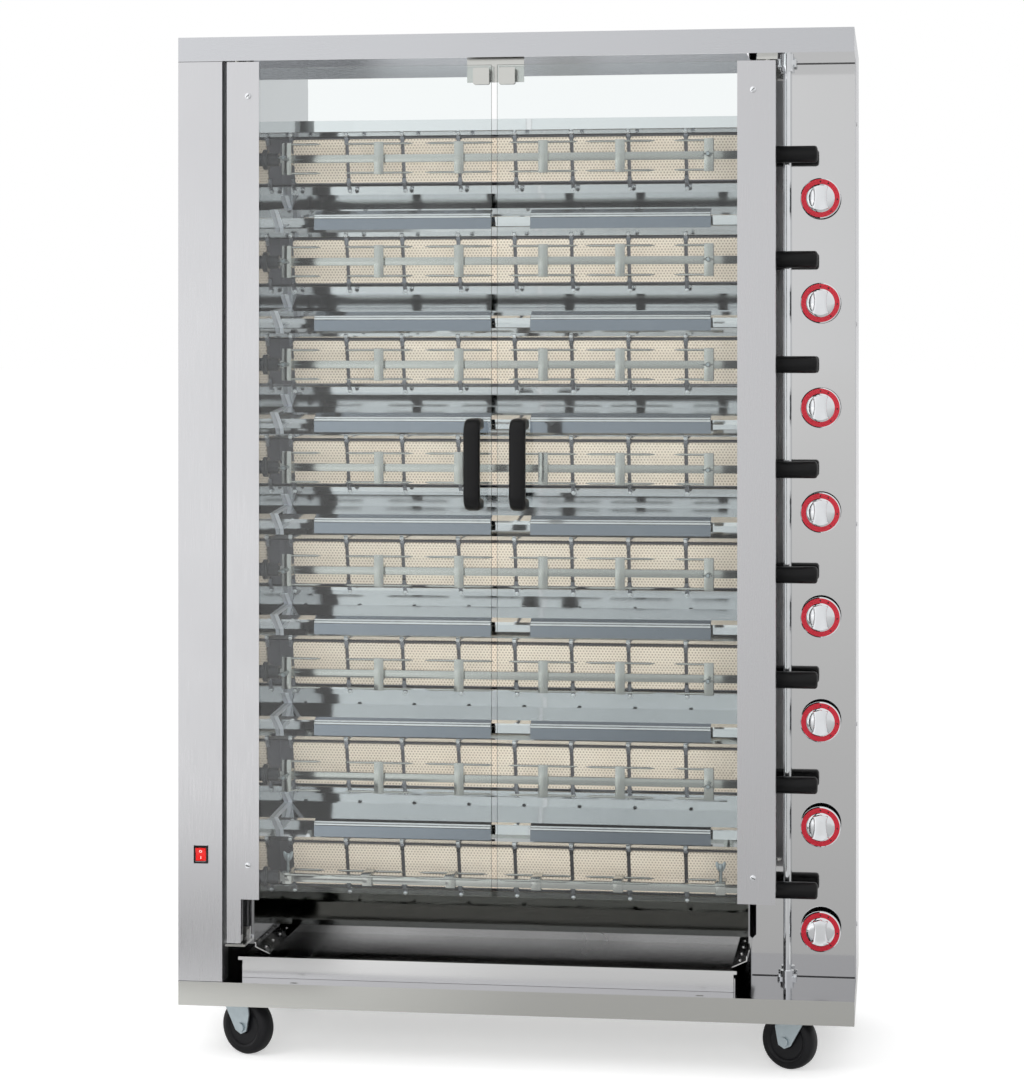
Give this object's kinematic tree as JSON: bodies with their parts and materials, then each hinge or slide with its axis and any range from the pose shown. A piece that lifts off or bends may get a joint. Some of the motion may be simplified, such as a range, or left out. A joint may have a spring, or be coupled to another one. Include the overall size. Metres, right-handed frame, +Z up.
{
  "type": "chicken rotisserie",
  "caption": "Tall gas chicken rotisserie on casters: spits stacked before ceramic burners, twin glass doors, control column and a pull-out drip tray.",
  "frame": {"origin": "on the floor, under the middle of the whole machine with its handles and gas inlet", "axes": "+Z up, +X to the right as seen from the front, +Y towards the back, so the doors face -Y"},
  "size_m": [1.184, 0.584, 1.795],
  "materials": {
    "brushed_sheet": "brushed",
    "bright_sheet": "polished",
    "cavity_sheet": "satin",
    "mild_steel": "satin",
    "zinc_steel": "satin",
    "chrome": "polished",
    "burner_ceramic": "matte",
    "cast_brass": "satin",
    "black_plastic": "satin",
    "red_plastic": "gloss",
    "glass": "clear",
    "caster_rubber": "matte"
  },
  "bodies": {
    "cabinet": {"base_chassis": "brushed_sheet", "canopy": "brushed_sheet", "left_column": "brushed_sheet", "inner_walls": "cavity_sheet", "right_column": "brushed_sheet", "control_panel": "bright_sheet", "rear_panel": "cavity_sheet", "reflector_panels": "bright_sheet", "burner_housings": "cavity_sheet", "burner_tiles": "burner_ceramic", "tile_clips": "zinc_steel", "drip_deflectors": "bright_sheet", "gas_train": "cast_brass", "guard_rail": "chrome", "drive_unit": "mild_steel", "door_hardware": "zinc_steel", "tray_runners": "cavity_sheet", "caster_plates": "zinc_steel"},
    "drive_hub_1": {"drive_hub_1": "mild_steel"},
    "spit_1": {"spit_1": "bright_sheet"},
    "knob_1": {"knob_1": "chrome"},
    "drive_hub_2": {"drive_hub_2": "mild_steel"},
    "spit_2": {"spit_2": "bright_sheet"},
    "knob_2": {"knob_2": "chrome"},
    "drive_hub_3": {"drive_hub_3": "mild_steel"},
    "spit_3": {"spit_3": "bright_sheet"},
    "knob_3": {"knob_3": "chrome"},
    "drive_hub_4": {"drive_hub_4": "mild_steel"},
    "spit_4": {"spit_4": "bright_sheet"},
    "knob_4": {"knob_4": "chrome"},
    "drive_hub_5": {"drive_hub_5": "mild_steel"},
    "spit_5": {"spit_5": "bright_sheet"},
    "knob_5": {"knob_5": "chrome"},
    "drive_hub_6": {"drive_hub_6": "mild_steel"},
    "spit_6": {"spit_6": "bright_sheet"},
    "knob_6": {"knob_6": "chrome"},
    "drive_hub_7": {"drive_hub_7": "mild_steel"},
    "spit_7": {"spit_7": "bright_sheet"},
    "knob_7": {"knob_7": "chrome"},
    "drive_hub_8": {"drive_hub_8": "mild_steel"},
    "spit_8": {"spit_8": "bright_sheet"},
    "knob_8": {"knob_8": "chrome"},
    "left_door": {"left_door_stile": "brushed_sheet", "left_door_glass": "glass", "left_door_handle": "black_plastic", "left_door_fittings": "chrome"},
    "right_door": {"right_door_stile": "brushed_sheet", "right_door_glass": "glass", "right_door_handle": "black_plastic", "right_door_fittings": "chrome"},
    "drip_tray": {"drip_tray": "cavity_sheet"},
    "rocker_switch": {"rocker_switch": "red_plastic"},
    "front_left_caster_fork": {"front_left_caster_fork": "zinc_steel"},
    "front_left_caster_wheel": {"front_left_caster_wheel": "caster_rubber"},
    "front_right_caster_fork": {"front_right_caster_fork": "zinc_steel"},
    "front_right_caster_wheel": {"front_right_caster_wheel": "caster_rubber"},
    "rear_left_caster_fork": {"rear_left_caster_fork": "zinc_steel"},
    "rear_left_caster_wheel": {"rear_left_caster_wheel": "caster_rubber"},
    "rear_right_caster_fork": {"rear_right_caster_fork": "zinc_steel"},
    "rear_right_caster_wheel": {"rear_right_caster_wheel": "caster_rubber"}
  },
  "joints": [
    {"name": "hub_spin_1", "type": "hinge", "parent": "cabinet", "child": "drive_hub_1", "pos_m": [-0.464, -0.097, 1.5895], "axis": [1, 0, 0], "continuous": true},
    {"name": "spit_pull_1", "type": "slide", "parent": "drive_hub_1", "child": "spit_1", "axis": [1, 0, 0], "range_m": [0, 0.04]},
    {"name": "knob_turn_1", "type": "hinge", "parent": "cabinet", "child": "knob_1", "pos_m": [0.528, -0.05, 1.5135], "axis": [0, -1, 0], "range_deg": [0, 150]},
    {"name": "hub_spin_2", "type": "hinge", "parent": "cabinet", "child": "drive_hub_2", "pos_m": [-0.464, -0.097, 1.405], "axis": [1, 0, 0], "continuous": true},
    {"name": "spit_pull_2", "type": "slide", "parent": "drive_hub_2", "child": "spit_2", "axis": [1, 0, 0], "range_m": [0, 0.04]},
    {"name": "knob_turn_2", "type": "hinge", "parent": "cabinet", "child": "knob_2", "pos_m": [0.528, -0.05, 1.329], "axis": [0, -1, 0], "range_deg": [0, 150]},
    {"name": "hub_spin_3", "type": "hinge", "parent": "cabinet", "child": "drive_hub_3", "pos_m": [-0.464, -0.097, 1.2205], "axis": [1, 0, 0], "continuous": true},
    {"name": "spit_pull_3", "type": "slide", "parent": "drive_hub_3", "child": "spit_3", "axis": [1, 0, 0], "range_m": [0, 0.04]},
    {"name": "knob_turn_3", "type": "hinge", "parent": "cabinet", "child": "knob_3", "pos_m": [0.528, -0.05, 1.1445], "axis": [0, -1, 0], "range_deg": [0, 150]},
    {"name": "hub_spin_4", "type": "hinge", "parent": "cabinet", "child": "drive_hub_4", "pos_m": [-0.464, -0.097, 1.036], "axis": [1, 0, 0], "continuous": true},
    {"name": "spit_pull_4", "type": "slide", "parent": "drive_hub_4", "child": "spit_4", "axis": [1, 0, 0], "range_m": [0, 0.04]},
    {"name": "knob_turn_4", "type": "hinge", "parent": "cabinet", "child": "knob_4", "pos_m": [0.528, -0.05, 0.96], "axis": [0, -1, 0], "range_deg": [0, 150]},
    {"name": "hub_spin_5", "type": "hinge", "parent": "cabinet", "child": "drive_hub_5", "pos_m": [-0.464, -0.097, 0.8515], "axis": [1, 0, 0], "continuous": true},
    {"name": "spit_pull_5", "type": "slide", "parent": "drive_hub_5", "child": "spit_5", "axis": [1, 0, 0], "range_m": [0, 0.04]},
    {"name": "knob_turn_5", "type": "hinge", "parent": "cabinet", "child": "knob_5", "pos_m": [0.528, -0.05, 0.7755], "axis": [0, -1, 0], "range_deg": [0, 150]},
    {"name": "hub_spin_6", "type": "hinge", "parent": "cabinet", "child": "drive_hub_6", "pos_m": [-0.464, -0.097, 0.667], "axis": [1, 0, 0], "continuous": true},
    {"name": "spit_pull_6", "type": "slide", "parent": "drive_hub_6", "child": "spit_6", "axis": [1, 0, 0], "range_m": [0, 0.04]},
    {"name": "knob_turn_6", "type": "hinge", "parent": "cabinet", "child": "knob_6", "pos_m": [0.528, -0.05, 0.591], "axis": [0, -1, 0], "range_deg": [0, 150]},
    {"name": "hub_spin_7", "type": "hinge", "parent": "cabinet", "child": "drive_hub_7", "pos_m": [-0.464, -0.097, 0.4825], "axis": [1, 0, 0], "continuous": true},
    {"name": "spit_pull_7", "type": "slide", "parent": "drive_hub_7", "child": "spit_7", "axis": [1, 0, 0], "range_m": [0, 0.04]},
    {"name": "knob_turn_7", "type": "hinge", "parent": "cabinet", "child": "knob_7", "pos_m": [0.528, -0.05, 0.4065], "axis": [0, -1, 0], "range_deg": [0, 150]},
    {"name": "hub_spin_8", "type": "hinge", "parent": "cabinet", "child": "drive_hub_8", "pos_m": [-0.464, -0.097, 0.298], "axis": [1, 0, 0], "continuous": true},
    {"name": "spit_pull_8", "type": "slide", "parent": "drive_hub_8", "child": "spit_8", "axis": [1, 0, 0], "range_m": [0, 0.04]},
    {"name": "knob_turn_8", "type": "hinge", "parent": "cabinet", "child": "knob_8", "pos_m": [0.528, -0.05, 0.222], "axis": [0, -1, 0], "range_deg": [0, 150]},
    {"name": "left_door_hinge", "type": "hinge", "parent": "cabinet", "child": "left_door", "pos_m": [-0.4885, -0.224, 0.737], "axis": [0, 0, 1], "range_deg": [-110, 0]},
    {"name": "right_door_hinge", "type": "hinge", "parent": "cabinet", "child": "right_door", "pos_m": [0.4415, -0.224, 0.737], "axis": [0, 0, 1], "range_deg": [0, 110]},
    {"name": "tray_slide", "type": "slide", "parent": "cabinet", "child": "drip_tray", "axis": [0, -1, 0], "range_m": [0, 0.35]},
    {"name": "switch_rock", "type": "hinge", "parent": "cabinet", "child": "rocker_switch", "pos_m": [-0.549, -0.238, 0.361], "axis": [1, 0, 0], "range_deg": [-16, 0]},
    {"name": "front_left_swivel", "type": "hinge", "parent": "cabinet", "child": "front_left_caster_fork", "pos_m": [-0.502, -0.168, 0.12], "axis": [0, 0, 1], "continuous": true},
    {"name": "front_left_roll", "type": "hinge", "parent": "front_left_caster_fork", "child": "front_left_caster_wheel", "pos_m": [-0.47773, -0.17984, 0.05], "axis": [0.4384, 0.8988, 0], "continuous": true},
    {"name": "front_right_swivel", "type": "hinge", "parent": "cabinet", "child": "front_right_caster_fork", "pos_m": [0.502, -0.168, 0.12], "axis": [0, 0, 1], "continuous": true},
    {"name": "front_right_roll", "type": "hinge", "parent": "front_right_caster_fork", "child": "front_right_caster_wheel", "pos_m": [0.47773, -0.15616, 0.05], "axis": [-0.4384, -0.8988, 0], "continuous": true},
    {"name": "rear_left_swivel", "type": "hinge", "parent": "cabinet", "child": "rear_left_caster_fork", "pos_m": [-0.502, 0.192, 0.12], "axis": [0, 0, 1], "continuous": true},
    {"name": "rear_left_roll", "type": "hinge", "parent": "rear_left_caster_fork", "child": "rear_left_caster_wheel", "pos_m": [-0.47632, 0.18366, 0.05], "axis": [0.309, 0.9511, 0], "continuous": true},
    {"name": "rear_right_swivel", "type": "hinge", "parent": "cabinet", "child": "rear_right_caster_fork", "pos_m": [0.502, 0.192, 0.12], "axis": [0, 0, 1], "continuous": true},
    {"name": "rear_right_roll", "type": "hinge", "parent": "rear_right_caster_fork", "child": "rear_right_caster_wheel", "pos_m": [0.47632, 0.20034, 0.05], "axis": [-0.309, -0.9511, 0], "continuous": true}
  ],
  "couplings": [
    {"joint": "hub_spin_2", "follows": "hub_spin_1", "ratio": 1},
    {"joint": "hub_spin_3", "follows": "hub_spin_1", "ratio": 1},
    {"joint": "hub_spin_4", "follows": "hub_spin_1", "ratio": 1},
    {"joint": "hub_spin_5", "follows": "hub_spin_1", "ratio": 1},
    {"joint": "hub_spin_6", "follows": "hub_spin_1", "ratio": 1},
    {"joint": "hub_spin_7", "follows": "hub_spin_1", "ratio": 1},
    {"joint": "hub_spin_8", "follows": "hub_spin_1", "ratio": 1}
  ]
}
